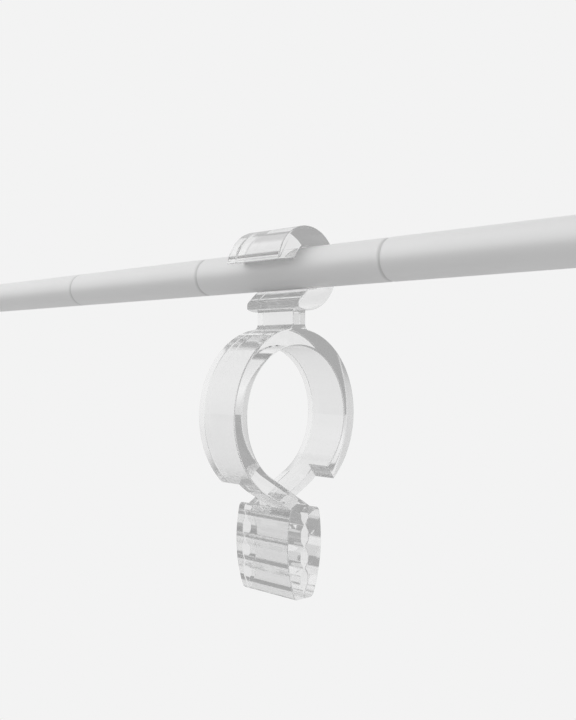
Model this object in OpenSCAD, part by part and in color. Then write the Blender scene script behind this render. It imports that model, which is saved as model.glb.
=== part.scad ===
// Hanging rail of a pull-out tie rack, with one clear clip-on spring clip.
// X runs along the rail from its far end, Z is up, and the clip's mouth opens towards -Y.
// The origin is the centre of the rail's far end face.

/* [Rail] */
// Outside diameter of the rail tube
rail_d = 12; // [9:0.5:16]
// Wall of the rail tube
rail_wall = 1.5; // [1:0.1:2]
// Spacing of the rolled grooves, and length of the bay beyond the last one
bay = 76; // [60:1:100]
// Number of bays that the grooves mark off
bay_count = 4; // [4:1:6]
// Width of a rolled groove
groove_w = 1.2; // [0.6:0.1:2]
// Depth of a rolled groove
groove_depth = 0.35; // [0.2:0.05:0.5]

/* [End plugs] */
// Length of a plug inside the tube
plug_len = 16; // [13:1:30]
// Thickness of the collar that seats on the tube's end
collar_t = 1.5; // [1:0.1:3]
// Bevel round the collar's outer rim
collar_bevel = 0.4; // [0.2:0.1:0.6]
// Radius of the tapped hole's wall
thread_r = 2.5; // [2:0.05:2.6]
// Depth of the tapped hole from the end face
thread_depth = 12; // [8:1:12]
// Gap all round between a plug and the tube's bore
plug_fit = 0.02; // [0.01:0.01:0.05]

/* [Snap cuff] */
// Place of the clip's middle along the rail, from the far end
clip_x = 185.8; // [60:0.1:220]
// Wall of the cuff outside its bore
cuff_wall = 6.32; // [4.5:0.02:7]
// Width of the cuff and of the jaws along the rail
clip_w = 22.2; // [18:0.1:30]
// Running gap between the rail and the cuff's bore
rail_fit = 0.08; // [0.05:0.01:0.1]
// Flare at each end of the bore
bore_flare = 0.9; // [0.3:0.1:1.2]
// Height of the upper lip's outer corner above the rail's axis
upper_lip_z = 1.5; // [0.5:0.1:3]
// Slope of the upper lip's end face
upper_lip_slope = 7; // [0:1:15]
// Slope of the lower lip's lead-in face
lead_in_slope = 43; // [35:1:50]
// Distance of the lower lip's tip in front of the rail's axis
lower_lip_y = 4; // [3:0.1:5.5]
// Bevel at the lips' corners
lip_bevel = 0.6; // [0.3:0.1:1]
// Bevel round the cuff's two outer rims
rim_bevel = 0.5; // [0.2:0.1:1]

/* [Neck] */
// Thickness of the neck across the rail
neck_t = 5.4; // [4:0.1:7]
// Free height of the neck between the cuff and the ring
neck_h = 5.65; // [3:0.05:12]
// Radius of the fillets at both ends of the neck
neck_fillet = 0.9; // [0.3:0.1:1.2]

/* [Spring ring] */
// Outside diameter of the ring
ring_od = 50.5; // [44:0.5:60]
// Wall of the ring
ring_t = 5.1; // [4:0.1:6]
// Width of the ring along the rail
ring_w = 15.5; // [12:0.1:18]
// Bevel along the ring's edges
ring_bevel = 0.6; // [0.2:0.1:1]
// Angle from the ring's bottom at which each arm narrows to half its width
step_angle = 40; // [36:1:48]
// Angle from the ring's bottom at which an arm leaves the circle and runs straight
leave_angle = 32; // [30:1:34]
// Gap between the two arms where they pass each other
arm_gap = 0.3; // [0.2:0.05:0.6]
// Running gap between the flexing knuckle and the arms' seats on it
knuckle_fit = 0.08; // [0.05:0.01:0.1]
// Gap between the arms' ends and the neck above the knuckle
neck_gap = 0.3; // [0.2:0.05:0.5]
// Half width of the knuckle's underside that the arms leave free
knuckle_free = 2; // [1.6:0.1:2.2]

/* [Jaws] */
// Height of the jaws
jaw_h = 26.3; // [22:0.1:34]
// Height of the jaws' upper outer corner above the middle line of the crossing arm there
jaw_rise = 2.7; // [1.6:0.1:2.9]
// Thickness of one jaw where it bulges most
jaw_t = 7.1; // [6.4:0.1:8]
// Radius of the jaws' bulging outer faces
jaw_bulge_r = 41.5; // [35:0.5:60]
// Depth of the bulge's crest below the jaws' upper outer corner
jaw_crest_drop = 10; // [8:0.5:13]
// Slope of the jaws' top faces, down towards the grip
jaw_top_slope = 23.8; // [23:0.2:28]
// Bevel at the jaws' outer corners
jaw_bevel = 0.9; // [0.4:0.1:1.4]
// Pitch of the gripping flutes
flute_pitch = 6.35; // [5:0.05:7]
// Depth of a flute
flute_depth = 1.3; // [0.6:0.1:1.8]
// Drop from the jaws' upper outer corner to the centre of the first flute
flute_drop = 1.45; // [1:0.05:3]
// Width of the crest between two flutes
crest_w = 0.3; // [0.2:0.05:0.6]
// Gap between the jaws' crests when the clip is closed
grip_gap = 0.3; // [0.2:0.05:0.6]

/* [Hidden] */
$fn = 96;
// How far a cutting body runs past the face that it cuts
over = 1;
// Length of a cutting body that must clear the whole clip
far = 200;

rail_len = bay * bay_count;
rail_r = rail_d / 2;
tube_bore_r = rail_r - rail_wall;
plug_r = tube_bore_r - plug_fit;

bore_r = rail_r + rail_fit;
cuff_r = bore_r + cuff_wall;

ring_r = ring_od / 2;
ring_mid_r = ring_r - ring_t / 2;
ring_z = -(cuff_r + neck_h + ring_r);
knuckle_r = ring_t / 2;
knuckle_z = ring_z + ring_mid_r;
seat_r = knuckle_r + knuckle_fit;

// Distance of a jaw's upper outer corner from the clip's middle plane
jaw_shoulder_y = jaw_t - jaw_bulge_r + sqrt(pow(jaw_bulge_r, 2) - pow(jaw_crest_drop, 2));
jaw_top_z = ring_z - ring_mid_r / cos(leave_angle) - jaw_shoulder_y * tan(leave_angle) + jaw_rise;
jaw_bottom_z = jaw_top_z - jaw_h;
jaw_crest_z = jaw_top_z - jaw_crest_drop;
// Radius of a flute from its width and its depth
flute_w = flute_pitch - crest_w;
flute_r = (pow(flute_w / 2, 2) + pow(flute_depth, 2)) / (2 * flute_depth);
flute_count = ceil((jaw_h - flute_drop) / flute_pitch);

// Stands a profile drawn in Y and Z up, so that its height runs along the rail
module along_rail() rotate([90, 0, 90]) children();

// Stands a profile drawn in Z and X up, so that its height runs towards +Y
module across_rail() rotate([0, -90, -90]) children();

// Band between two places along the rail
module slab(x_low, x_high) along_rail() translate([0, 0, x_low]) linear_extrude(x_high - x_low) children();

// Cylinder on the rail's axis between two places
module rod_between(x_low, x_high, r_low, r_high)
  along_rail() translate([0, 0, x_low]) cylinder(h = x_high - x_low, r1 = r_low, r2 = r_high);

module rail_groove(x) {
  translate([x, 0, 0]) along_rail() rotate_extrude()
    polygon([
      [rail_r - groove_depth, -groove_w / 4],
      [rail_r - groove_depth, groove_w / 4],
      [rail_r, groove_w / 2],
      [rail_r + over, groove_w / 2],
      [rail_r + over, -groove_w / 2],
      [rail_r, -groove_w / 2]
    ]);
}

module rail_tube() {
  color("gainsboro") difference() {
    rod_between(collar_t, rail_len - collar_t, rail_r, rail_r);
    rod_between(0, rail_len, tube_bore_r, tube_bore_r);
    for (i = [1 : bay_count - 1]) rail_groove(i * bay);
  }
}

// Plug with its collar's face at x = 0 and its body towards +X
module end_plug() {
  difference() {
    union() {
      rod_between(0, collar_bevel, rail_r - collar_bevel, rail_r);
      rod_between(collar_bevel, collar_t, rail_r, rail_r);
      rod_between(collar_t - collar_bevel, plug_len - over, plug_r, plug_r);
      rod_between(plug_len - over, plug_len, plug_r, plug_r - over);
    }
    rod_between(-over, thread_depth, thread_r, thread_r);
  }
}

module far_end_plug() color("silver") end_plug();

module near_end_plug() color("silver") translate([rail_len, 0, 0]) mirror([1, 0, 0]) end_plug();

// Round bar along the rail with bevelled rims, centred on the clip
module bevelled_round(r, w, bevel) {
  along_rail() rotate_extrude()
    polygon([[0, -w / 2], [r - bevel, -w / 2], [r, -w / 2 + bevel], [r, w / 2 - bevel], [r - bevel, w / 2], [0, w / 2]]);
}

// Space between the lips that the rail snaps through, bevelled at the lips' corners
module cuff_mouth() {
  upper_y = -sqrt(pow(cuff_r, 2) - pow(upper_lip_z, 2));
  rise = tan(upper_lip_slope);
  inner_z = upper_lip_z - (bore_r + upper_y) * rise;
  // The inner bevel runs from the lip's face to this point on the bore, and on into the bore
  bevel_end = [-sqrt(pow(bore_r, 2) - pow(inner_z + lip_bevel, 2)), inner_z + lip_bevel];
  bevel_run = bevel_end - [-bore_r, inner_z];
  lead_z = -bore_r - lower_lip_y * tan(lead_in_slope);
  slab(-clip_w / 2 - over, clip_w / 2 + over)
    polygon([
      [upper_y - cuff_r, upper_lip_z + lip_bevel + cuff_r],
      [upper_y, upper_lip_z + lip_bevel],
      [upper_y + lip_bevel, upper_lip_z + lip_bevel * rise],
      [-bore_r, inner_z],
      bevel_end + bevel_run,
      [0, -bore_r],
      [-lower_lip_y + lip_bevel / 2, lead_z + lip_bevel / 2 * tan(lead_in_slope)],
      [-lower_lip_y, lead_z - lip_bevel],
      [-lower_lip_y, -cuff_r],
      [-cuff_r - over, -cuff_r]
    ]);
}

// Concave fillet that fills the corner between a wall at y = neck_t / 2 and a face at z
module neck_corner(z, up) {
  for (side = [-1, 1])
    scale([1, side, up])
      translate([0, neck_t / 2, up * z])
        difference() {
          translate([-ring_w / 2, -over, -over]) cube([ring_w, over + neck_fillet, over + neck_fillet]);
          slab(-ring_w / 2 - over, ring_w / 2 + over) translate([neck_fillet, neck_fillet]) circle(r = neck_fillet);
        }
}

// Neck from inside the cuff's wall down to the flexing knuckle at the ring's crown
module neck() {
  cuff_skin_z = -sqrt(pow(cuff_r, 2) - pow(neck_t / 2 + neck_fillet, 2));
  foot_z = knuckle_z + neck_gap;
  translate([-ring_w / 2, -neck_t / 2, foot_z]) cube([ring_w, neck_t, -cuff_r + cuff_wall / 2 - foot_z]);
  translate([0, 0, knuckle_z]) bevelled_round(knuckle_r, ring_w, ring_bevel);
  neck_corner(cuff_skin_z, -1);
}

module snap_cuff() {
  color("aliceblue", 0.4) translate([clip_x, 0, 0]) difference() {
    union() {
      bevelled_round(cuff_r, clip_w, rim_bevel);
      neck();
    }
    rod_between(-clip_w, clip_w, bore_r, bore_r);
    for (end = [-1, 1])
      scale([end, 1, 1])
        rod_between(clip_w / 2 - bore_flare, clip_w / 2 + over, bore_r, bore_r + bore_flare + over);
    cuff_mouth();
  }
}

// Frame of an arm's straight end: centred on the ring, and turned so that the end runs along Y
module leaving_frame() translate([0, 0, ring_z]) rotate([-leave_angle, 0, 0]) children();

// Section of the ring from x_low to its front side, about the ring's mid radius
module ring_section(x_low, rear_bevel)
  polygon([
    [-ring_t / 2, x_low + rear_bevel],
    [rear_bevel - ring_t / 2, x_low],
    [ring_t / 2 - rear_bevel, x_low],
    [ring_t / 2, x_low + rear_bevel],
    [ring_t / 2, ring_w / 2 - ring_bevel],
    [ring_t / 2 - ring_bevel, ring_w / 2],
    [ring_bevel - ring_t / 2, ring_w / 2],
    [-ring_t / 2, ring_w / 2 - ring_bevel]
  ]);

// Round part of an arm, from where it leaves the circle back to the crown
module ring_sweep()
  along_rail() rotate([0, 0, -90]) mirror([0, 1, 0]) rotate_extrude(angle = 180 - leave_angle)
    translate([ring_mid_r, 0]) ring_section(-ring_w / 2, ring_bevel);

// Straight front half of an arm, from where it leaves the circle into the jaw on the other side
module crossing_bar() {
  leave_y = -ring_mid_r * sin(leave_angle);
  run = (jaw_shoulder_y - leave_y - knuckle_r * sin(leave_angle)) / cos(leave_angle);
  translate([0, 0, -ring_mid_r]) across_rail() linear_extrude(run) ring_section(arm_gap / 2, 0);
}

// Room for the other arm: the rear half of this one from the step on
module step_cut() {
  away = far * [sin(step_angle - leave_angle), cos(step_angle - leave_angle)];
  slab(-ring_w, arm_gap / 2) polygon([[0, 0], [-away[0], -away[1]], [away[0], -away[1]]]);
}

// Jaw on the +Y side: a bulging back, a top that slopes to the grip and flutes across the grip face
module jaw() {
  grip_y = grip_gap / 2;
  top_grip_z = jaw_top_z - (jaw_shoulder_y - grip_y) * tan(jaw_top_slope);
  foot_y = jaw_t - jaw_bulge_r + sqrt(pow(jaw_bulge_r, 2) - pow(jaw_crest_z - jaw_bottom_z, 2));
  slab(-clip_w / 2, clip_w / 2) difference() {
    intersection() {
      translate([jaw_t - jaw_bulge_r, jaw_crest_z]) circle(r = jaw_bulge_r);
      polygon([
        [grip_y, jaw_bottom_z],
        [foot_y - jaw_bevel, jaw_bottom_z],
        [foot_y + jaw_bevel / 2, jaw_bottom_z + jaw_bevel],
        [jaw_t + over, jaw_bottom_z + jaw_bevel + over],
        [jaw_t + over, jaw_top_z - jaw_bevel * 2],
        [jaw_shoulder_y - jaw_bevel, jaw_top_z - jaw_bevel * tan(jaw_top_slope)],
        [grip_y, top_grip_z]
      ]);
    }
    for (i = [0 : flute_count - 1])
      translate([grip_y + flute_depth - flute_r, jaw_top_z - flute_drop - i * flute_pitch]) circle(r = flute_r);
  }
}

// One arm of the spring ring. It runs down the -Y side and crosses over to carry the +Y jaw
module spring_arm() {
  difference() {
    union() {
      leaving_frame() difference() {
        union() {
          ring_sweep();
          crossing_bar();
        }
        step_cut();
      }
      jaw();
    }
    // Seat on the flexing knuckle, and room beside the neck and under the knuckle
    translate([0, 0, knuckle_z]) rod_between(-ring_w, ring_w, seat_r, seat_r);
    translate([-ring_w, -neck_t / 2 - neck_gap, knuckle_z]) cube([2 * ring_w, far, ring_od]);
    translate([-ring_w, -knuckle_free, ring_z]) cube([2 * ring_w, far, ring_od]);
  }
}

module left_spring_arm() color("aliceblue", 0.4) translate([clip_x, 0, 0]) spring_arm();

module right_spring_arm() color("aliceblue", 0.4) translate([clip_x, 0, 0]) rotate([0, 0, 180]) spring_arm();

rail_tube();
far_end_plug();
near_end_plug();
snap_cuff();
left_spring_arm();
right_spring_arm();
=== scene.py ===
"""Looks of the tie rack's hanging rail and its clear clip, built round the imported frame.

Everything is in metres in the CAD's frame: X along the rail, Z up, the clip's mouth towards -Y.
Outlines are drawn in millimetres in the YZ plane and swept or extruded along X.
"""

import math

import bmesh
import bpy
from mathutils import Matrix, Vector


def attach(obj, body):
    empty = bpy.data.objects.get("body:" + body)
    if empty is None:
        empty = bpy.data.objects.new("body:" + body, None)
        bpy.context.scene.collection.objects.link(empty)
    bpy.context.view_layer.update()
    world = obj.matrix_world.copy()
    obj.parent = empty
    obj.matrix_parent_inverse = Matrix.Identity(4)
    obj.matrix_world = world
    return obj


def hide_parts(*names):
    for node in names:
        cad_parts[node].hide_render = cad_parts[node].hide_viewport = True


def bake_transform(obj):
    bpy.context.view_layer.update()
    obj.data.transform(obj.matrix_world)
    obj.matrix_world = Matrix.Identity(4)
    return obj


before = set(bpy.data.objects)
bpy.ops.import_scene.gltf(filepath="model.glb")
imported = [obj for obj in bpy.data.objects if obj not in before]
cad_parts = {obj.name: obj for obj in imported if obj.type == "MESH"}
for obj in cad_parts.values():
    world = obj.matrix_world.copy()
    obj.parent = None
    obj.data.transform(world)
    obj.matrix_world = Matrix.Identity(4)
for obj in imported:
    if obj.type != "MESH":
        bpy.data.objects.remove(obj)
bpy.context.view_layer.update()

MM = 0.001

# ---- Sizes, in millimetres, and angles in degrees where ANGLE is in the name. Those without a
# comment are as in the part's source, or only round an edge ----
RAIL_R = 6.0
RAIL_WALL = 1.5
RAIL_LEN = 304.0
COLLAR_T = 1.5
GROOVES = (76.0, 152.0, 228.0)
GROOVE_HALF_W = 0.95  # a soft rolled hollow, wider than the solids' groove
GROOVE_DEPTH = 0.38  # 0.35 in the solids

CLIP_X = 185.8
CLIP_W = 22.2
BORE_R = 6.08
CUFF_R = 12.4
RIM_ROUND = 0.4
BORE_FLARE = 0.9
FLARE_START_ANGLE = 6.0  # the bore's flare begins this far from a lip
FLARE_RISE_ANGLE = 30.0  # and is full this much further on
LIP_SOFTENING = 0.5
UPPER_LIP_Z = 1.5
UPPER_LIP_SLOPE = math.radians(7)
UPPER_LIP_FOOT_Y = -0.93 * BORE_R  # the lip's sloping face is followed inwards to here
UPPER_LIP_FOOT_ANGLE = 22.0  # and meets the bore near this angle above level
LEAD_IN_SLOPE = math.radians(43)
LOWER_LIP_Y = 4.0

NECK_HALF_T = 2.7
NECK_FLARE = 0.9
NECK_FOOT = 1.6  # fillet on the ring, 0.9 in the solids
NECK_SUNK = 2.0  # how far the neck reaches into the cuff before the two are joined

RING_W = 15.5
RING_R = 25.25
RING_T = 5.1
RING_MID_R = RING_R - RING_T / 2
RING_Z = -43.4
RING_TALL = 1.0235  # the photo's ring is this much taller than wide, and the solids' is round
RING_ROUND = 0.5
CROWN_HALF_ANGLE = 12.0  # to where an arm's mesh takes over from the crown's
CROWN_SPARE_ANGLE = 3.0  # drawn past each end of the crown, then cut off flat
STEP_ANGLE = 40.0
STEP_CUT_FROM = 15.0  # the step's cutter lies between these distances from the ring's axis
STEP_CUT_TO = 60.0
LEAVE_ANGLE = 28.0  # 32 in the solids
ARM_GAP = 0.3
BAR_TAPER = 0.6  # how much thinner a crossing bar is where it meets its jaw

JAW_T = 7.1
JAW_H = 26.68  # 26.3 in the solids
JAW_TOP_Z = -70.1  # 0.9 higher than in the solids, where the photo has it
JAW_BULGE_R = 41.5
JAW_CREST_DROP = 10.4  # 10 in the solids, whose jaw starts lower
JAW_TOP_SLOPE = math.radians(23.8)
JAW_BEVEL = 0.6
JAW_BEVEL_TALL = 1.6 * JAW_BEVEL
JAW_ROUND = 0.35
JAW_SOFTENING = 0.5
GRIP_Y = 0.15
FLUTE_COUNT = 4
FLUTE_PITCH = 6.35
FLUTE_FLOOR_W = 2.7  # with its corners softened, each flute is a scallop as in the solids
FLUTE_DEPTH = 1.3
FLUTE_DROP = 2.0  # from the jaw's top to the first flute's middle, 1.45 in the solids

# ---- How finely the curves are stepped ----
RAIL_STEPS = 160
GROOVE_STEPS = 8
CUFF_STEPS = 220
BORE_STEPS = 120
CUFF_RIM_STEPS = 6
CROWN_STEPS = 12
CROWN_EYE_STEPS = 30
NECK_FOOT_STEPS = 10
NECK_FLARE_STEPS = 8
RING_ROUND_STEPS = 4
ARM_STEPS = 140
BULGE_STEPS = 28
CLIP_SHARP_ANGLE = 38  # edges sharper than this stay sharp
RAIL_SHARP_ANGLE = 50

# ---- Slack for telling where a point lies ----
ON_BORE = 0.02  # millimetres
ON_PLANE = 1e-6  # metres
SAME_WAY = 0.9999  # cosine
TURN_SLACK = 0.01  # degrees


# ---- Mesh helpers ----
def add_object(name, data):
    obj = bpy.data.objects.new(name, data)
    bpy.context.scene.collection.objects.link(obj)
    return obj


def mesh_object(name, vertices, faces):
    """Object from vertices in millimetres, with its faces' normals outside."""
    mesh = bpy.data.meshes.new(name)
    mesh.from_pydata([Vector(v) * MM for v in vertices], [], faces)
    bm = bmesh.new()
    bm.from_mesh(mesh)
    bmesh.ops.recalc_face_normals(bm, faces=bm.faces)
    bm.to_mesh(mesh)
    bm.free()
    return add_object(name, mesh)


def apply_modifiers(obj):
    bpy.context.view_layer.update()
    evaluated = obj.evaluated_get(bpy.context.evaluated_depsgraph_get())
    done = bpy.data.meshes.new_from_object(evaluated)
    obj.modifiers.clear()
    old = obj.data
    obj.data = done
    bpy.data.meshes.remove(old)
    return obj


def join_solids(obj, other, operation="UNION"):
    """Makes obj and other one closed solid, or cuts other out of obj. other goes."""
    boolean = obj.modifiers.new("join", "BOOLEAN")
    boolean.operation = operation
    boolean.solver = "EXACT"
    boolean.object = other
    apply_modifiers(obj)
    bpy.data.objects.remove(other)
    return obj


def finish_mesh(obj, sharp_angle):
    """Smooth shading that keeps flat faces flat."""
    mesh = obj.data
    for polygon in mesh.polygons:
        polygon.use_smooth = True
    mesh.set_sharp_from_angle(angle=math.radians(sharp_angle))
    weighted = obj.modifiers.new("flats", "WEIGHTED_NORMAL")
    weighted.mode = "FACE_AREA"
    weighted.keep_sharp = True
    weighted.weight = 80
    return apply_modifiers(obj)


def arc(centre, radius, start, end, steps):
    """Points in YZ on an arc, both ends in. Angles in degrees from +Y towards +Z."""
    points = []
    for i in range(steps + 1):
        a = math.radians(start + (end - start) * i / steps)
        points.append((centre[0] + radius * math.cos(a), centre[1] + radius * math.sin(a)))
    return points


def turn_of(y, z):
    """Angle of a point about the rail's axis, in degrees from +Y towards +Z, from 0 to 360."""
    return math.degrees(math.atan2(z, y)) % 360


def prism(name, outline, x_low, x_high):
    """Closed solid with that YZ outline between two places along the rail."""
    return loft(name, [[(x, y, z) for y, z in outline] for x in (x_low, x_high)])


def softened(outline, reach, over_angle=20, steps=5, most=0.45, shortest=1e-3):
    """The outline with each corner replaced by a curve that starts and ends reach from it, but
    no further than the share most of the way to the next corner. A point closer than shortest
    to the one before it is left out."""
    points = [Vector(p) for p in outline]
    n = len(points)
    lengths = [(points[(i + 1) % n] - p).length for i, p in enumerate(points)]
    corners = []
    for i in range(n):
        before, after = points[i] - points[i - 1], points[(i + 1) % n] - points[i]
        if before.angle(after) > math.radians(over_angle):
            corners.append(i)

    def gap(k):
        """Length of the outline from corner k to the next one."""
        i, end = corners[k % len(corners)], corners[(k + 1) % len(corners)]
        return sum(lengths[j % n] for j in range(i, end if end > i else end + n))

    def place(i, way, distance):
        """Point that far from vertex i along the outline."""
        while True:
            j = (i + way) % n
            step = lengths[i] if way > 0 else lengths[j]
            if step > distance:
                return points[i].lerp(points[j], distance / step)
            distance, i = distance - step, j

    reaches = [min(reach, most * gap(k - 1), most * gap(k)) for k in range(len(corners))]
    result = []
    for k, corner in enumerate(corners):
        start, end = place(corner, -1, reaches[k]), place(corner, 1, reaches[k])
        for i in range(steps + 1):
            t = i / steps
            result.append((1 - t) ** 2 * start + 2 * t * (1 - t) * points[corner] + t * t * end)
        following = corners[(k + 1) % len(corners)]
        stop = gap(k) - reaches[(k + 1) % len(corners)]
        i, travelled = corner, 0.0
        while True:
            travelled, i = travelled + lengths[i], (i + 1) % n
            if i == following:
                break
            if reaches[k] < travelled < stop:
                result.append(points[i])
    return [p for i, p in enumerate(result) if (p - result[i - 1]).length > shortest]


def rounded_prism(name, outline, x_low, x_high, rim, steps=4, mitre_limit=0.5):
    """Closed solid with that YZ outline, its edges at both ends rounded. rim gives the radius
    of the rounding at a point of the outline."""
    points = [Vector(p) for p in outline]
    n = len(points)
    area = sum(p.x * q.y - p.y * q.x for p, q in zip(points, points[1:] + points[:1]))
    inward = []
    for i in range(n):
        before = (points[i] - points[i - 1]).normalized()
        after = (points[(i + 1) % n] - points[i]).normalized()
        along = (before + after).normalized()
        side = Vector((-along.y, along.x)) * math.copysign(1, area)
        inward.append(side / max(mitre_limit, along.dot(after)))
    rims = [rim(p) for p in points]
    rings = []
    for end, way in ((x_low, 1), (x_high, -1)):
        half = []
        for k in range(steps + 1):
            a = math.pi / 2 * k / steps
            ring = []
            for p, side, r in zip(points, inward, rims):
                q = p + side * r * (1 - math.sin(a))
                ring.append((end + way * r * (1 - math.cos(a)), q.x, q.y))
            half.append(ring)
        rings += half if way > 0 else half[::-1]
    return loft(name, rings)


def cut_flat(obj, point, normal):
    """Takes away what lies on the normal's side of a plane, and closes the cut."""
    bm = bmesh.new()
    bm.from_mesh(obj.data)
    everything = list(bm.verts) + list(bm.edges) + list(bm.faces)
    cut = bmesh.ops.bisect_plane(
        bm, geom=everything, plane_co=point, plane_no=normal, clear_outer=True
    )
    rim = [e for e in cut["geom_cut"] if isinstance(e, bmesh.types.BMEdge)]
    bmesh.ops.holes_fill(bm, edges=rim)
    bmesh.ops.recalc_face_normals(bm, faces=bm.faces)
    bm.to_mesh(obj.data)
    bm.free()


def loft(name, rings):
    """Closed solid through rings of points of one count, capped at both ends."""
    n = len(rings[0])
    vertices = [v for ring in rings for v in ring]
    faces = []
    for k in range(len(rings) - 1):
        for i in range(n):
            j = (i + 1) % n
            faces.append((k * n + i, k * n + j, (k + 1) * n + j, (k + 1) * n + i))
    faces += [tuple(range(n)), tuple(range((len(rings) - 1) * n, len(rings) * n))]
    return mesh_object(name, vertices, faces)


def lathe(name, profile, steps):
    """Closed solid of revolution about the rail's axis from a closed profile of (x, radius)."""
    n = len(profile)
    vertices, faces = [], []
    for s in range(steps):
        a = 2 * math.pi * s / steps
        vertices += [(x, r * math.cos(a), r * math.sin(a)) for x, r in profile]
    for s in range(steps):
        t = (s + 1) % steps
        for i in range(n):
            j = (i + 1) % n
            faces.append((s * n + i, s * n + j, t * n + j, t * n + i))
    return mesh_object(name, vertices, faces)


# ---- The rail's and the clip's forms ----
def rail_profile():
    """Half section of the tube between its collars, with the rolled grooves."""
    outer = [(COLLAR_T, RAIL_R)]
    for x in GROOVES:
        for i in range(-GROOVE_STEPS, GROOVE_STEPS + 1):
            t = i / GROOVE_STEPS
            depth = GROOVE_DEPTH * (0.5 + 0.5 * math.cos(math.pi * t))
            outer.append((x + t * GROOVE_HALF_W, RAIL_R - depth))
    outer.append((RAIL_LEN - COLLAR_T, RAIL_R))
    inner = [(RAIL_LEN - COLLAR_T, RAIL_R - RAIL_WALL), (COLLAR_T, RAIL_R - RAIL_WALL)]
    return outer + inner


def tall(z):
    """Height of a point of the round ring once the ring is drawn out to its real height."""
    return RING_Z + RING_TALL * (z - RING_Z)


def cuff_solid():
    """The C-shaped cuff. Its bore flares at both ends, but not at the lips."""
    upper_y = -math.sqrt(CUFF_R ** 2 - UPPER_LIP_Z ** 2)
    lower_z = -math.sqrt(CUFF_R ** 2 - LOWER_LIP_Y ** 2)
    foot_y = -BORE_R * math.cos(math.radians(UPPER_LIP_FOOT_ANGLE))
    foot_z = UPPER_LIP_Z + (UPPER_LIP_FOOT_Y - upper_y) * math.tan(UPPER_LIP_SLOPE)
    bottom, bore_end = -90, turn_of(foot_y, foot_z)
    outer_start, outer_end = turn_of(upper_y, UPPER_LIP_Z), turn_of(-LOWER_LIP_Y, lower_z) - 360
    outline = arc((0, 0), CUFF_R, outer_start, outer_end, CUFF_STEPS)
    outline.append((-LOWER_LIP_Y, -BORE_R - LOWER_LIP_Y * math.tan(LEAD_IN_SLOPE)))
    outline += arc((0, 0), BORE_R, bottom, bore_end, BORE_STEPS)

    def rim(p):
        if p.length > BORE_R + ON_BORE:
            return RIM_ROUND
        turn = math.degrees(math.atan2(p.y, p.x))
        if turn < bottom - TURN_SLACK:
            turn += 360
        from_lip = min(turn - bottom, bore_end - turn)
        t = min(1, max(0, (from_lip - FLARE_START_ANGLE) / FLARE_RISE_ANGLE))
        return RIM_ROUND + (BORE_FLARE - RIM_ROUND) * t * t * (3 - 2 * t)

    x_low, x_high = CLIP_X - CLIP_W / 2, CLIP_X + CLIP_W / 2
    outline = softened(outline, LIP_SOFTENING)
    return rounded_prism("cuff_form", outline, x_low, x_high, rim, CUFF_RIM_STEPS)


def neck_and_crown():
    """Neck and the ring's crown in one, with a flare into the cuff and a fillet on the ring."""
    head_y, foot_y = NECK_HALF_T + NECK_FLARE, NECK_HALF_T + NECK_FOOT
    head_z = -math.sqrt(CUFF_R ** 2 - head_y ** 2) - NECK_FLARE
    foot_z = RING_Z + math.sqrt((RING_R + NECK_FOOT) ** 2 - foot_y ** 2)
    meets = math.degrees(math.atan2(foot_z - RING_Z, foot_y))
    past = CROWN_HALF_ANGLE + CROWN_SPARE_ANGLE
    right = arc((0, RING_Z), RING_R, 90 - past, meets, CROWN_STEPS)[:-1]
    right += arc((foot_y, foot_z), NECK_FOOT, meets + 180, 180, NECK_FOOT_STEPS)
    right = [(y, tall(z)) for y, z in right]
    right += arc((head_y, head_z), NECK_FLARE, 180, 90, NECK_FLARE_STEPS)
    right.append((head_y, NECK_SUNK - CUFF_R))
    left = [(-y, z) for y, z in reversed(right)]
    eye = arc((0, RING_Z), RING_R - RING_T, 90 + past, 90 - past, CROWN_EYE_STEPS)
    outline = right + left + [(y, tall(z)) for y, z in eye]
    x_low, x_high = CLIP_X - RING_W / 2, CLIP_X + RING_W / 2
    solid = rounded_prism(
        "neck_form", outline, x_low, x_high, lambda p: RING_ROUND, RING_ROUND_STEPS
    )
    for side in (-1, 1):
        point, normal = seam_plane(side)
        cut_flat(solid, point, normal if normal.y * side > 0 else -normal)
    return solid


def ring_section():
    """Rounded section of the ring: (distance from its mid radius, place along the rail)."""
    t, w = RING_T / 2 - RING_ROUND, RING_W / 2 - RING_ROUND
    section = []
    for centre, start in (((t, w), 0), ((-t, w), 90), ((-t, -w), 180), ((t, -w), 270)):
        section += arc(centre, RING_ROUND, start, start + 90, RING_ROUND_STEPS)
    return section


def ring_station(angle):
    """The section's points where the round ring is at that angle, from +Y towards +Z."""
    y, z = math.cos(math.radians(angle)), math.sin(math.radians(angle))
    return [
        (CLIP_X + x, (RING_MID_R + t) * y, RING_Z + (RING_MID_R + t) * z)
        for t, x in ring_section()
    ]


def shoulder_y():
    """How far out the jaw's back is at the height of its upper edge."""
    return JAW_T - JAW_BULGE_R + math.sqrt(JAW_BULGE_R ** 2 - JAW_CREST_DROP ** 2)


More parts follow.
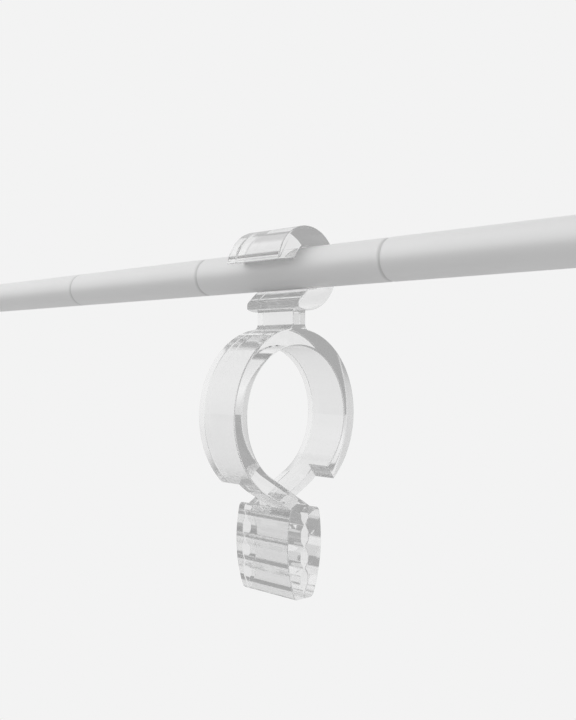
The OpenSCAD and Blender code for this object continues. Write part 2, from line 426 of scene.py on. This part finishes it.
def arm_solid():
    """The arm down the -Y side, which narrows at the step and crosses to the +Y jaw."""
    first, last = 90 + CROWN_HALF_ANGLE, 270 - LEAVE_ANGLE
    stations = [first + (last - first) * i / ARM_STEPS for i in range(ARM_STEPS + 1)]
    rings = [ring_station(angle) for angle in stations]
    leave = math.radians(LEAVE_ANGLE)
    run = (shoulder_y() + (RING_R - RING_T) * math.sin(leave)) / math.cos(leave)
    end = []
    for (t, _), (x, y, z) in zip(ring_section(), rings[-1]):
        taper = BAR_TAPER if t < 0 else 0.0
        y += run * math.cos(leave) - taper * math.sin(leave)
        z -= run * math.sin(leave) + taper * math.cos(leave)
        end.append((x, y, z))
    solid = loft("arm_form", rings + [end])
    step = math.radians(STEP_ANGLE)
    near, far = (
        (-reach * math.sin(step), RING_Z - reach * math.cos(step))
        for reach in (STEP_CUT_FROM, STEP_CUT_TO)
    )
    outline = [near, far, (STEP_CUT_TO, far[1]), (STEP_CUT_TO, near[1])]
    cutter = prism("step_form", outline, CLIP_X - RING_W, CLIP_X + ARM_GAP / 2)
    join_solids(solid, cutter, "DIFFERENCE")
    for vertex in solid.data.vertices:
        vertex.co.z = tall(vertex.co.z / MM) * MM
    return solid


def jaw_outline():
    """Section of the +Y jaw: its foot, bulging back, sloping top and fluted grip."""
    bottom_z, crest_z = JAW_TOP_Z - JAW_H, JAW_TOP_Z - JAW_CREST_DROP
    centre_y = JAW_T - JAW_BULGE_R
    foot_y = centre_y + math.sqrt(JAW_BULGE_R ** 2 - (crest_z - bottom_z) ** 2)
    slope = math.tan(JAW_TOP_SLOPE)
    bulge_low, bulge_high = (
        math.degrees(math.asin((z - crest_z) / JAW_BULGE_R))
        for z in (bottom_z + JAW_BEVEL, JAW_TOP_Z - JAW_BEVEL_TALL)
    )
    outline = [(GRIP_Y, bottom_z), (foot_y - JAW_BEVEL, bottom_z)]
    outline += arc((centre_y, crest_z), JAW_BULGE_R, bulge_low, bulge_high, BULGE_STEPS)
    outline.append((shoulder_y() - JAW_BEVEL, JAW_TOP_Z - JAW_BEVEL * slope))
    floor_y = GRIP_Y + FLUTE_DEPTH
    outline.append((floor_y, JAW_TOP_Z - (shoulder_y() - floor_y) * slope))
    for i in range(FLUTE_COUNT):
        middle = JAW_TOP_Z - FLUTE_DROP - i * FLUTE_PITCH
        if i > 0:  # the top flute runs out through the sloping top
            outline.append((floor_y, middle + FLUTE_FLOOR_W / 2))
        outline.append((floor_y, middle - FLUTE_FLOOR_W / 2))
        outline.append((GRIP_Y, middle - FLUTE_PITCH / 2))
    return outline


def jaw_solid():
    outline = softened(jaw_outline(), JAW_SOFTENING)
    x_low, x_high = CLIP_X - CLIP_W / 2, CLIP_X + CLIP_W / 2
    return rounded_prism("jaw_form", outline, x_low, x_high, lambda p: JAW_ROUND)


def turn_half(obj):
    """Half a turn about the clip's upright middle line makes one arm the other."""
    there = Matrix.Translation((CLIP_X * MM, 0, 0))
    obj.data.transform(there @ Matrix.Rotation(math.pi, 4, "Z") @ there.inverted())


# ---- Materials ----
COAT = 0.90  # grey of the rail's coat
PAINTED_GROOVE_SHADE = 0.8  # how dark the painted shade in the rail's grooves is beside the coat
SHADE_FREE_DEPTH = 0.02  # millimetres below the rail's skin where the painted groove shade begins
PLASTIC_IOR = 1.5
LIT_THROUGH = 0.6  # share of a lamp's light that passes each skin of the clear plastic
# Dimmed mirroring of the steps' faces, part of the painted shade on them
STEP_MIRROR = 0.68
NOISE_SPAN = (0.3, 0.7)  # noise hardly leaves this span
EVEN = (1, 1, 1)
STREAKS, SHORT_STREAKS = (0.1, 1, 1), (0.4, 1, 1)  # noise drawn out along the rail


def grey(value):
    return (value, value, value, 1)


def new_material(name):
    material = bpy.data.materials.new(name)
    material.use_nodes = True
    nodes, links = material.node_tree.nodes, material.node_tree.links
    return material, nodes, links, nodes["Principled BSDF"]


def add_node(nodes, kind, **settings):
    node = nodes.new(kind)
    for name, value in settings.items():
        setattr(node, name, value)
    return node


def stretched_noise(nodes, links, stretch, scale, detail=2.0):
    """Noise in the object's own coordinates, stretched along the axes."""
    place = add_node(nodes, "ShaderNodeTexCoord")
    mapping = add_node(nodes, "ShaderNodeMapping")
    mapping.inputs["Scale"].default_value = stretch
    links.new(place.outputs["Object"], mapping.inputs["Vector"])
    noise = add_node(nodes, "ShaderNodeTexNoise")
    noise.inputs["Scale"].default_value = scale
    noise.inputs["Detail"].default_value = detail
    links.new(mapping.outputs["Vector"], noise.inputs["Vector"])
    return noise.outputs["Fac"]


def mapped(nodes, links, value, span, to_span):
    """Value socket mapped from one span to another, easing in and out."""
    node = add_node(nodes, "ShaderNodeMapRange", interpolation_type="SMOOTHSTEP")
    names = ("From Min", "From Max", "To Min", "To Max")
    for name, number in zip(names, (*span, *to_span)):
        node.inputs[name].default_value = number
    links.new(value, node.inputs["Value"])
    return node.outputs["Result"]


def product(nodes, links, first, second):
    times = add_node(nodes, "ShaderNodeMath", operation="MULTIPLY")
    links.new(first, times.inputs[0])
    links.new(second, times.inputs[1])
    return times.outputs[0]


def add_bump(nodes, links, shader, height, strength, distance):
    bump = add_node(nodes, "ShaderNodeBump")
    bump.inputs["Strength"].default_value = strength
    bump.inputs["Distance"].default_value = distance
    links.new(height, bump.inputs["Height"])
    links.new(bump.outputs["Normal"], shader.inputs["Normal"])


def pass_lamps(nodes, links, shader):
    """Lets part of a lamp's light through clear plastic, whose shadow would else be black."""
    path = add_node(nodes, "ShaderNodeLightPath")
    through = add_node(nodes, "ShaderNodeBsdfTransparent")
    through.inputs["Color"].default_value = grey(LIT_THROUGH)
    either = add_node(nodes, "ShaderNodeMixShader")
    links.new(path.outputs["Is Shadow Ray"], either.inputs["Fac"])
    links.new(shader.outputs["BSDF"], either.inputs[1])
    links.new(through.outputs["BSDF"], either.inputs[2])
    links.new(either.outputs["Shader"], nodes["Material Output"].inputs["Surface"])


def clear_plastic():
    """Clear moulding: faint grey absorption, and faint flow lines in its skin."""
    material, nodes, links, shader = new_material("clear_plastic")
    shader.inputs["Roughness"].default_value = 0.06
    shader.inputs["IOR"].default_value = PLASTIC_IOR
    shader.inputs["Transmission Weight"].default_value = 1.0
    flow = stretched_noise(nodes, links, STREAKS, scale=420.0)
    tint = mapped(nodes, links, flow, NOISE_SPAN, (0.875, 0.895))
    links.new(tint, shader.inputs["Base Color"])
    add_bump(nodes, links, shader, flow, strength=0.02, distance=0.0001)
    pass_lamps(nodes, links, shader)
    return material


def dull_shaded_step():
    """Dull faces where each arm steps down to half its width, with painted shade in their darker
    tint and dimmed mirroring. The photo shows them dark.
    """
    material, nodes, links, shader = new_material("dull_shaded_step")
    shader.inputs["Specular Tint"].default_value = grey(STEP_MIRROR)
    shader.inputs["IOR"].default_value = PLASTIC_IOR
    shader.inputs["Transmission Weight"].default_value = 1.0
    grain = stretched_noise(nodes, links, EVEN, scale=1500.0)
    # Their tint is darker than the clear plastic's: painted shade on the steps' faces
    for name, to_span in (("Base Color", (0.66, 0.74)), ("Roughness", (0.3, 0.45))):
        links.new(mapped(nodes, links, grain, NOISE_SPAN, to_span), shader.inputs[name])
    return material


def seam_material():
    """Faces inside the moulding, where two of its meshes meet. Light passes them unbent."""
    material, _, _, shader = new_material("inside_moulding")
    shader.inputs["Alpha"].default_value = 0.0
    return material


def rail_coat():
    """Satin coat: fine grain, faint cloudiness, and painted shade that darkens the rolled grooves.
    """
    material, nodes, links, shader = new_material("rail_coat")
    shader.inputs["Metallic"].default_value = 0.42
    shader.inputs["Roughness"].default_value = 0.45
    clouds = stretched_noise(nodes, links, SHORT_STREAKS, scale=90.0)
    cloud = mapped(nodes, links, clouds, NOISE_SPAN, (0.985, 1.0))
    place = add_node(nodes, "ShaderNodeTexCoord")
    across = add_node(nodes, "ShaderNodeVectorMath", operation="MULTIPLY")
    across.inputs[1].default_value = (0, 1, 1)
    links.new(place.outputs["Object"], across.inputs[0])
    radius = add_node(nodes, "ShaderNodeVectorMath", operation="LENGTH")
    links.new(across.outputs["Vector"], radius.inputs[0])
    # Darker towards the groove floors: painted shade in the rolled grooves
    groove_floor, skin = (RAIL_R - GROOVE_DEPTH) * MM, (RAIL_R - SHADE_FREE_DEPTH) * MM
    groove_shade_span = (PAINTED_GROOVE_SHADE * COAT, COAT)
    groove_shade_mix = mapped(nodes, links, radius.outputs["Value"], (groove_floor, skin), groove_shade_span)
    links.new(product(nodes, links, cloud, groove_shade_mix), shader.inputs["Base Color"])
    grain = stretched_noise(nodes, links, EVEN, scale=2600.0, detail=3.0)
    add_bump(nodes, links, shader, grain, strength=0.12, distance=0.00008)
    return material


def plug_metal():
    """Turned steel: rings left by the tool about the rail's axis."""
    material, nodes, links, shader = new_material("plug_metal")
    shader.inputs["Metallic"].default_value = 1.0
    place = add_node(nodes, "ShaderNodeTexCoord")
    rings = add_node(nodes, "ShaderNodeTexWave", wave_type="RINGS", rings_direction="X")
    rings.inputs["Scale"].default_value = 900.0
    rings.inputs["Distortion"].default_value = 0.6
    links.new(place.outputs["Object"], rings.inputs["Vector"])
    tint = mapped(nodes, links, rings.outputs["Fac"], (0, 1), (0.58, 0.64))
    links.new(tint, shader.inputs["Base Color"])
    wear = stretched_noise(nodes, links, EVEN, scale=500.0)
    links.new(mapped(nodes, links, wear, NOISE_SPAN, (0.26, 0.4)), shader.inputs["Roughness"])
    add_bump(nodes, links, shader, rings.outputs["Fac"], strength=0.2, distance=0.00003)
    return material


# ---- Build ----
CLEAR = clear_plastic()
SEAM = seam_material()
DULL_SHADED = dull_shaded_step()


def dress_moulding(obj, seam_planes, dull_shaded_planes=()):
    """Clear plastic, with the unseen material in the seam planes and the dull one with painted
    shade in the steps'.
    """
    mesh = obj.data
    mesh.materials.clear()
    for material in (CLEAR, SEAM, DULL_SHADED):
        mesh.materials.append(material)
    for index, planes in ((1, seam_planes), (2, dull_shaded_planes)):
        for polygon in mesh.polygons:
            for point, normal in planes:
                flat = abs(polygon.normal.dot(normal)) > SAME_WAY
                if flat and abs((polygon.center - point).dot(normal)) < ON_PLANE:
                    polygon.material_index = index


def ring_plane(angle, lean):
    """Point and normal of a plane through the ring's axis, drawn out with the ring."""
    a = math.radians(angle)
    normal = Vector((0, math.cos(a), lean * math.sin(a) / RING_TALL)).normalized()
    return Vector((CLIP_X, 0, RING_Z)) * MM, normal


def seam_plane(side):
    """Plane at one end of the crown. side is -1 for the -Y arm."""
    return ring_plane(CROWN_HALF_ANGLE, -side)


def step_plane(side):
    """Plane of one arm's step. side is -1 for the -Y arm."""
    return ring_plane(STEP_ANGLE, side)


rail = finish_mesh(lathe("rail_coated_tube", rail_profile(), RAIL_STEPS), RAIL_SHARP_ANGLE)
rail.data.materials.append(rail_coat())
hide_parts("rail_tube")
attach(rail, "rail")

metal = plug_metal()
for node in ("far_end_plug", "near_end_plug"):
    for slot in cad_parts[node].material_slots:
        slot.material = metal

cuff = join_solids(cuff_solid(), neck_and_crown())
finish_mesh(cuff, CLIP_SHARP_ANGLE)
cuff.name = "clip_cuff_and_crown"
dress_moulding(cuff, [seam_plane(-1), seam_plane(1)])
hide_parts("snap_cuff")
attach(cuff, "cuff")

# Each arm is built with its jaw, the +Y one turned from the -Y one, and meets the crown at its seam
# plane
for side, node, body in ((-1, "left_spring_arm", "left_arm"), (1, "right_spring_arm", "right_arm")):
    arm = join_solids(arm_solid(), jaw_solid())
    if side > 0:
        turn_half(arm)
    finish_mesh(arm, CLIP_SHARP_ANGLE)
    arm.name = "clip_" + body
    dress_moulding(arm, [seam_plane(side)], [step_plane(side)])
    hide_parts(node)
    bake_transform(arm)

# ---- Stage, light and camera ----
BACKDROP = 0.896
AMBIENT = 0.49
SKY_STOPS = ((0.0, 0.74), (0.42, 0.97), (0.95, 0.75))  # height of the direction, grey
GROUND = 0.42
# Zones of the surroundings: the way to their middle, the span of the cosine with it, their grey
DIM_BEHIND = ((-0.7071, 0.7071, 0.0), (0.80, 0.98), 0.72)
BRIGHT_SIDE = ((1.0, 0.0, 0.0), (0.1, 0.5), 0.96)
ZONE_FADE = (-0.34, -0.14)  # heights over which the zones fade out on the floor
FLOOR_Z = -0.32
FLOOR_HALF = 12.0
KEY_STRENGTH = 0.8
KEY_FROM = Vector((-0.55, -0.35, 1.0))
KEY_SOFTNESS = math.radians(50)
LIGHT_PATH_LIMIT = 40
CAMERA_LENS = 44.81
CAMERA_AT = (0.37848, -0.18952, -0.03000)
CAMERA_RIGHT = Vector((0.70715, 0.70694, 0.01320))
CAMERA_UP = Vector((-0.00155, -0.01713, 0.99985))


def mix_grey(nodes, links, factor, first, second):
    """Grey between two greys. Each is a number or a socket."""
    mix = add_node(nodes, "ShaderNodeMix", data_type="FLOAT")
    links.new(factor, mix.inputs["Factor"])
    for name, value in (("A", first), ("B", second)):
        if isinstance(value, float):
            mix.inputs[name].default_value = value
        else:
            links.new(value, mix.inputs[name])
    return mix.outputs["Result"]


def towards(nodes, links, direction, way, span):
    """1 where a direction goes that way, 0 away from it."""
    level = add_node(nodes, "ShaderNodeVectorMath", operation="DOT_PRODUCT")
    level.inputs[1].default_value = way
    links.new(direction, level.inputs[0])
    return mapped(nodes, links, level.outputs["Value"], span, (0.0, 1.0))


def clamped(nodes, links, value):
    clamp = add_node(nodes, "ShaderNodeClamp")
    links.new(value, clamp.inputs["Value"])
    return clamp.outputs["Result"]


def surroundings(nodes, links, direction, around, fade=None):
    """Grey socket: the grey around with the studio's zones in it, each times fade if given."""
    for way, span, value in (DIM_BEHIND, BRIGHT_SIDE):
        zone = towards(nodes, links, direction, way, span)
        if fade is not None:
            zone = product(nodes, links, zone, fade)
        around = mix_grey(nodes, links, zone, around, value)
    return around


def seen_by(nodes, links, around):
    """Grey socket: an even backdrop where light goes straight or bends through clear plastic, the
    studio's surroundings where it comes off glossy skin, an even fill where it lights a surface."""
    path = add_node(nodes, "ShaderNodeLightPath")
    glossy, diffuse = (
        clamped(nodes, links, path.outputs[name]) for name in ("Glossy Depth", "Diffuse Depth")
    )
    backdrop = mix_grey(nodes, links, glossy, BACKDROP, around)
    return mix_grey(nodes, links, diffuse, backdrop, AMBIENT)


def make_world():
    world = bpy.data.worlds.new("studio")
    bpy.context.scene.world = world
    world.use_nodes = True
    nodes, links = world.node_tree.nodes, world.node_tree.links
    direction = add_node(nodes, "ShaderNodeTexCoord").outputs["Generated"]
    split = add_node(nodes, "ShaderNodeSeparateXYZ")
    links.new(direction, split.inputs[0])
    sky = add_node(nodes, "ShaderNodeValToRGB")
    sky.color_ramp.interpolation = "EASE"
    for _ in SKY_STOPS[2:]:
        sky.color_ramp.elements.new(0.5)
    for stop, (height, value) in zip(sky.color_ramp.elements, SKY_STOPS):
        stop.position = height
        stop.color = grey(value)
    links.new(split.outputs["Z"], sky.inputs["Fac"])
    around = surroundings(nodes, links, direction, sky.outputs["Color"])
    links.new(seen_by(nodes, links, around), nodes["Background"].inputs["Color"])


def make_floor():
    """Floor that shows the ground's grey, with no light of the lamp on it."""
    mesh = bpy.data.meshes.new("floor")
    corners = ((-1, -1), (1, -1), (1, 1), (-1, 1))
    vertices = [(x * FLOOR_HALF, y * FLOOR_HALF, FLOOR_Z) for x, y in corners]
    mesh.from_pydata(vertices, [], [(0, 1, 2, 3)])
    floor = add_object("floor", mesh)
    material, nodes, links, shader = new_material("floor_pale")
    shader.inputs["Base Color"].default_value = grey(0)
    shader.inputs["Roughness"].default_value = 1
    shader.inputs["Specular IOR Level"].default_value = 0
    shader.inputs["Emission Strength"].default_value = 1
    place = add_node(nodes, "ShaderNodeNewGeometry").outputs["Position"]
    level = add_node(nodes, "ShaderNodeVectorMath", operation="NORMALIZE")
    links.new(place, level.inputs[0])
    direction = level.outputs["Vector"]
    fade = towards(nodes, links, direction, (0, 0, 1), ZONE_FADE)
    around = surroundings(nodes, links, direction, GROUND, fade)
    links.new(seen_by(nodes, links, around), shader.inputs["Emission Color"])
    mesh.materials.append(material)


def make_key_light():
    """Soft overhead light on the matt parts. The clear skin mirrors the surroundings instead."""
    light = bpy.data.lights.new("key", "SUN")
    light.energy = KEY_STRENGTH
    light.angle = KEY_SOFTNESS
    key = add_object("key", light)
    key.rotation_euler = KEY_FROM.to_track_quat("Z", "Y").to_euler()
    key.visible_glossy = False
    key.visible_transmission = False


def make_camera():
    """The photo's camera, fitted to the rail's edges and grooves and to the ring."""
    data = bpy.data.cameras.new("camera")
    data.sensor_fit = "VERTICAL"
    data.sensor_height = 36
    data.lens = CAMERA_LENS
    data.clip_start = 0.005
    data.clip_end = 100
    camera = add_object("camera", data)
    axes = Matrix((CAMERA_RIGHT, CAMERA_UP, CAMERA_RIGHT.cross(CAMERA_UP)))
    camera.matrix_world = Matrix.Translation(CAMERA_AT) @ axes.transposed().to_4x4()
    bpy.context.scene.camera = camera


make_key_light()
make_floor()
make_world()
make_camera()
scene = bpy.context.scene
scene.view_settings.view_transform = "Standard"
for limit in ("max_bounces", "glossy_bounces", "transmission_bounces", "transparent_max_bounces"):
    setattr(scene.cycles, limit, LIGHT_PATH_LIMIT)
scene.cycles.caustics_refractive = False
scene.cycles.caustics_reflective = False
